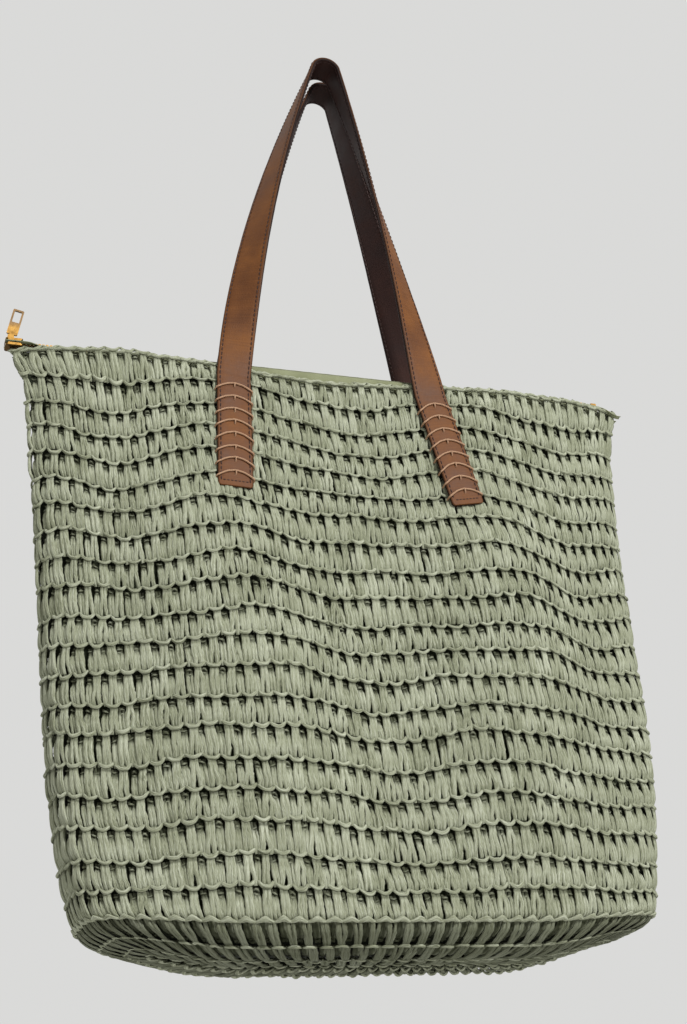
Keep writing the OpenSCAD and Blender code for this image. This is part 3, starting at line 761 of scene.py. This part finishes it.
def ply_surface(inner):
    """Rings of one ply in strap coordinates: crowned, with sunk stitch lines and rounded edges."""
    h, t = STRAP_HALF, PLY_T
    outer = np.concatenate([[-1], np.linspace(-0.97, 0.97, 23), [1]])
    u = np.concatenate([outer, [1, 0.97], [0], [-0.97, -1]])
    face = np.arange(len(u)) < len(outer)
    ends = np.minimum(STRAP_ALONG, STRAP_LENGTH - STRAP_ALONG)
    corner = np.clip(CORNER - ends, 0, CORNER)
    half = h - CORNER + np.sqrt(np.maximum(CORNER ** 2 - corner ** 2, 0.3))
    across = half[:, None] * u[None]
    along = np.broadcast_to(STRAP_ALONG[:, None], across.shape)
    edge = h - np.abs(across)
    at_edge = np.abs(u) == 1
    crown = 0.32 * np.clip(edge / 5, 0, 1) ** 0.6 - 0.16 * np.exp(-((edge - 2.0) / 0.55) ** 2)
    rim = np.where(at_edge, t * 0.62, t - 0.05)
    top = rim + np.where(at_edge, 0, crown) - 0.12
    bottom = np.where(at_edge, t * 0.3, 0.02)
    for i in range(LACES):
        tab_end = TAB_L - lace_depth(i)
        for from_end in (STRAP_ALONG, STRAP_LENGTH - STRAP_ALONG):
            line = tab_end + LACE_RISE * (1 - (np.abs(across) / h) ** 2)
            top = top - 0.28 * np.exp(-((from_end[:, None] - line) / 1.0) ** 2)
    creases = 0.05 * np.sin(along * 0.31 + across * 0.25) * np.sin(along * 0.083 + 1)
    out = np.where(face[None], top + creases, bottom)
    out = -out if inner else out
    sides = np.clip(1 - edge / 0.9, 0, 1) * 0.75
    wear = np.where(face[None], sides, 0.6)
    return along, across, out, wear


def make_ply(name, inner, mirror, nodes):
    along, across, out, wear = ply_surface(inner)
    rings, count = along.shape
    points = on_strap(along, across, out, mirror).reshape(-1, 3)
    faces = grid_faces(rings, count, True)
    flip = inner != mirror
    faces = faces[:, ::-1] if flip else faces
    caps = [list(range(count)), list(range((rings - 1) * count, rings * count))]
    caps = [caps[0] if flip else caps[0][::-1], caps[1][::-1] if flip else caps[1]]
    strand = np.stack([across.ravel(), along.ravel(), out.ravel()], 1)
    piece = put_mesh(name, points, faces.tolist() + caps, BACKING if inner else SADDLE, body=None,
                     attributes={"strand": strand, "edge": wear.ravel()})
    bend_with_handle(piece)
    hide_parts(*nodes)


def bend_with_handle(piece):
    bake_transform(piece)


def stitch_run(starts, across, length, direction=(1, 0), height=PLY_T + 0.12):
    """Small sunk stitches in strap coordinates, starting at each place and running along direction."""
    sunk, proud = -0.35, 0.12
    path = curve_through([(0, 0, sunk), (0.22 * length, 0, proud), (0.78 * length, 0, proud),
                          (length, 0, sunk)], 6)
    flat, faces, strand = tube(path, [0.26, 0.34, 0.38, 0.38, 0.34, 0.26], 0.26, 6)
    parts = []
    for s, u in zip(starts, across):
        along = s + flat[:, 0] * direction[0] - flat[:, 1] * direction[1]
        side = u + flat[:, 0] * direction[1] + flat[:, 1] * direction[0]
        parts.append((np.stack([along, side, np.sign(height) * flat[:, 2] + height], 1), faces, strand))
    return join(parts)


def make_topstitching(name, mirror):
    inset, pitch = 2.0, 3.7
    runs = np.arange(3.4, STRAP_LENGTH - 3.4 - pitch, pitch)
    parts = []
    for side in (-1, 1):
        for height in (PLY_T + 0.1, -PLY_T - 0.1):
            lower = TAB_L + 6 if height < 0 else 0
            keep = runs[(runs > lower) & (runs < STRAP_LENGTH - lower)]
            across = np.full(len(keep), side * (STRAP_HALF - inset))
            parts.append(stitch_run(keep, across, 2.7, height=height))
    end_inset, end_stitches = 3.6, 7
    row = np.linspace(-STRAP_HALF + 3.2, STRAP_HALF - 5.0, end_stitches)
    for end in (end_inset, STRAP_LENGTH - end_inset):
        parts.append(stitch_run(np.full(end_stitches, end), row, 1.8, direction=(0, 1), height=PLY_T + 0.12))
    local, faces, strand = join(parts)
    points = on_strap(local[:, 0], local[:, 1], local[:, 2], mirror)
    piece = put_mesh(name, points, faces, DARK_THREAD, body=None,
                     attributes={"strand": strand})
    bend_with_handle(piece)


def make_lacing(name, k, mirror, node):
    """Chevron wraps over a sewn end, each going round both edges into the crochet."""
    half = STRAP_HALF + 0.35
    top = 2 * PLY_T + LACE_R - 0.1
    parts = []
    for i in range(LACES):
        y = -lace_depth(i) + rng.normal(0, 0.15)
        high = LACE_RISE + rng.normal(0, 0.25)
        path = curve_through([(-half - 0.5, y - 0.5, -1.6), (-half - 0.35, y - 0.2, top - 1.7),
                              (-half + 0.7, y + 0.2, top),
                              (-half * 0.5, y + high * 0.70, top + 0.12), (-1.6, y + high * 0.96, top + 0.1),
                              (0, y + high, top + 0.15), (1.6, y + high * 0.96, top + 0.1),
                              (half * 0.5, y + high * 0.70, top + 0.12), (half - 0.7, y + 0.2, top),
                              (half + 0.35, y - 0.2, top - 1.7), (half + 0.5, y - 0.5, -1.6)], 44)
        parts.append(tube(path, LACE_R, LACE_R, 8))
        tick = curve_through([(0.0, y + high + 0.5, top - 0.2), (0.05, y + high - 0.6, top + 0.75),
                              (0.0, y + high - 2.2, top + 0.35), (0, y + high - 2.9, top - 0.5)], 10)
        parts.append(tube(tick, LACE_R * 0.8, LACE_R * 0.8, 8, out=(1, 0, 0)))
    local, faces, strand = join(parts)
    points = tab_point(k, local[:, 1], local[:, 0], local[:, 2])
    if mirror:
        points, faces = to_back(points), faces[:, ::-1]
    piece = put_mesh(name, points, faces, LACE, attributes={"strand": strand})
    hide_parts(node)


def make_handles():
    for face, mirror in (("front", False), ("back", True)):
        make_ply(f"{face}_strap_saddle", False, mirror,
                 [f"{face}_handle_outer", f"{face}_left_tab", f"{face}_right_tab"])
        make_ply(f"{face}_strap_backing", True, mirror, [f"{face}_handle_inner"])
        make_topstitching(f"{face}_strap_stitching", mirror)
        for k, side in enumerate(("left", "right")):
            make_lacing(f"{face}_{side}_lace", k, mirror, f"{face}_{side}_lacing")


# -------------------------------------------------- zip

TEETH_HALF, TOOTH = 2.6, 2.4          # half the width of the closed teeth, and their pitch
TAPE_DIP, TAPE_DIP_X = 9, 193         # the tape's right end sinks this far, from this place on


def tape_edge(x):
    """Where the tape's outer edge lies across and up, at a place along the zip."""
    share = np.clip(np.abs(x) / (RIM_W / 2), 0, 1)
    y = np.maximum(5.4, (half_depth(RIM_Z) - 5.6) * (1 - share ** PLAN_POWER[1]) - 1)
    s = np.clip((RIM_W / 2 - 4 - np.abs(x)) / 12, 0, 1)
    return y, mix(CHAIN_Z, RIM_Z + 0.6, ease(s))


def make_tape(name, side, x0, x1):
    """A strip of woven tape from the facing up to the teeth, with a ribbed edge beside them."""
    x = np.linspace(x0, x1, max(3, int(abs(x1 - x0) / 2.5)))
    outer_y, outer_z = tape_edge(x)
    across = np.array([0.0, 0.12, 0.35, 0.6, 0.8, 0.92, 1.0])
    arch = 0.5 * np.sin(np.pi * across) - TAPE_DIP * ease((x - TAPE_DIP_X) / 20)[:, None]
    y = outer_y[:, None] * (1 - across) + TEETH_HALF * 0.75 * across
    z = outer_z[:, None] * (1 - across) + CHAIN_Z * across + arch + 0.05 * np.sin(x * 1.9)[:, None]
    thick = np.where(across > 0.85, 0.55, 0.3)
    upper = np.stack([np.broadcast_to(x[:, None], y.shape), y, z + thick], -1)
    lower = np.stack([np.broadcast_to(x[:, None], y.shape), y, z - thick * 0.6], -1)[:, ::-1]
    ring = np.concatenate([upper, lower], 1) * (1, side, 1)
    n, count = ring.shape[:2]
    faces = grid_faces(n, count, True)
    faces = faces if side < 0 else faces[:, ::-1]
    caps = [list(range(count)), list(range((n - 1) * count, n * count))]
    return put_mesh(name, ring.reshape(-1, 3), faces.tolist() + caps, TAPE, body=None)


def make_teeth(name, side, x0, x1):
    """Metal teeth clamped on the tape's edge, each with a shoulder and a narrow head."""
    shape = np.array([(-0.85, 0.0), (0.85, 0.0), (0.8, 1.5), (0.42, 2.1), (0.5, 3.2), (0.25, 3.6),
                      (-0.25, 3.6), (-0.5, 3.2), (-0.42, 2.1), (-0.8, 1.5)]) * (0.95, 1)
    n = len(shape)
    rings = [(0.86, -1.0), (1.0, -0.8), (1.0, 0.8), (0.86, 1.0)]
    parts = []
    for k in range(math.ceil(x0 / TOOTH), int(x1 / TOOTH - 0.3)):
        at = (k + (0.5 if side > 0 else 0)) * TOOTH + 0.4
        verts = np.concatenate([np.concatenate([shape * s - (0, TEETH_HALF), np.full((n, 1), h)], 1)
                                for s, h in rings]) + (at, 0, CHAIN_Z)
        parts.append(verts * (1, -side, 1))
    faces = grid_faces(len(rings), n, True).tolist()
    faces += [list(range(n))[::-1], list(range(3 * n, 4 * n))]
    if side > 0:
        faces = [f[::-1] for f in faces]
    every = [[i + k * 4 * n for i in f] for k in range(len(parts)) for f in faces]
    return put_mesh(name, np.concatenate(parts), every, BRASS, body=None, smooth=False)


def make_facing(name, side, nodes):
    """The cloth band inside the rim that the zip is sewn to."""
    f = np.linspace(1.2, ROUND / 2 - 1.2, 240) + (0 if side < 0 else ROUND / 2)
    section = [(-4.7, -15), (-4.7, -6), (-4.8, -0.8), (-5.2, -0.2), (-5.6, -0.8), (-5.7, -6), (-5.8, -15)]
    points = np.stack([wall(f, RIM_Z - SEAM_Z + up, off, 0, 0) for off, up in section], 1)
    n, count = points.shape[:2]
    piece = put_mesh(name, points.reshape(-1, 3), grid_faces(n, count, True)[:, ::-1], TAPE)
    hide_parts(*nodes)


def make_zip():
    spread = 50.0        # length over which the opening zip parts from its closed ends
    teeth_left, teeth_right = ZIP_LEFT + 9, ZIP_RIGHT - 22     # the tape is bare outside the teeth
    for side, face in ((-1, "front"), (1, "back")):
        body = f"zip_{face}_half"
        make_facing(f"{face}_facing_band", side, [f"facing_{face}"])
        spans = [("left", ZIP_LEFT, ZIP_OPEN[0], None), ("left_bend", ZIP_OPEN[0], ZIP_OPEN[0] + spread, 1),
                 ("middle", ZIP_OPEN[0] + spread, ZIP_OPEN[1] - spread, body),
                 ("right_bend", ZIP_OPEN[1] - spread, ZIP_OPEN[1], -1),
                 ("right", ZIP_OPEN[1], ZIP_RIGHT, None)]
        for place, x0, x1, how in spans:
            tape = make_tape(f"{face}_tape_{place}", side, x0, x1)
            teeth = make_teeth(f"{face}_teeth_{place}", side, max(x0, teeth_left), min(x1, teeth_right))
            for piece in (tape, teeth):
                if how is None or how == body:
                    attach(piece, how or "bag")
                else:
                    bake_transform(piece)
            if place == "middle":
                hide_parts(f"zip_tape_{face}")
                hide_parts(f"zip_teeth_{face}")
            if place in ("left", "right") and side < 0:
                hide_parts(f"zip_tape_{place}_end")
                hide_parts(f"zip_teeth_{place}_end")
    finish_cad_metal()


def finish_cad_metal():
    """The slider, its pull tab and the stop keep their CAD shapes and get a metal finish."""
    _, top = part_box("zip_pull_tab")
    tab_brass = brass_material("pull_tab_brass", rgb(84, 60, 28), rgb(140, 108, 56), top[2] - 0.0125)
    for node, material in (("zip_slider", BRASS), ("zip_bottom_stop", BRASS), ("zip_pull_tab", tab_brass)):
        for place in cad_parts[node].material_slots:
            place.material = material


make_handles()
make_zip()

# -------------------------------------------------- stage and light


def make_stage():
    """A pale floor well below the hanging bag."""
    mesh = bpy.data.meshes.new("floor")
    half, z = 6.0, -0.70
    corners = [(-half, -half, z), (half, -half, z), (half, half, z), (-half, half, z)]
    mesh.from_pydata(corners, [], [(0, 1, 2, 3)])
    floor = bpy.data.objects.new("floor", mesh)
    bpy.context.collection.objects.link(floor)
    s = Shader("pale_floor", Roughness=0.7)
    grain = s.noise(s.place(), 40.0, 4.0)
    s.link(s.ramp(grain, (0.3, rgb(208, 208, 206)), (0.7, rgb(212, 212, 210))), "Base Color")
    mesh.materials.append(s.material)


def make_light():
    world = bpy.data.worlds.new("studio")
    bpy.context.scene.world = world
    world.use_nodes = True
    tree = world.node_tree
    around = tree.nodes.new("ShaderNodeTexCoord")
    split = tree.nodes.new("ShaderNodeSeparateXYZ")
    fade = tree.nodes.new("ShaderNodeMapRange")
    fade.inputs["From Min"].default_value, fade.inputs["From Max"].default_value = -1.0, 0.5
    fade.inputs["To Min"].default_value, fade.inputs["To Max"].default_value = 0.38, 1.0
    tree.links.new(around.outputs["Generated"], split.inputs["Vector"])
    tree.links.new(split.outputs["Y"], fade.inputs["Value"])
    sky = tree.nodes["Background"]
    sky.inputs["Color"].default_value = (0.70, 0.70, 0.69, 1)
    tree.links.new(fade.outputs["Result"], sky.inputs["Strength"])
    aim = Vector((0, 0, 0.25))
    for name, place, size, power in (("key", (0.8, -2.7, 1.9), 0.7, 100), ("rim", (-1.6, 1.2, 1.4), 1.2, 8)):
        lamp = bpy.data.objects.new(name, bpy.data.lights.new(name, "AREA"))
        lamp.data.size, lamp.data.energy = size, power
        lamp.location = place
        lamp.rotation_euler = (aim - Vector(place)).to_track_quat("-Z", "Y").to_euler()
        bpy.context.collection.objects.link(lamp)
    bpy.context.scene.view_settings.view_transform = "Standard"


make_stage()
make_light()
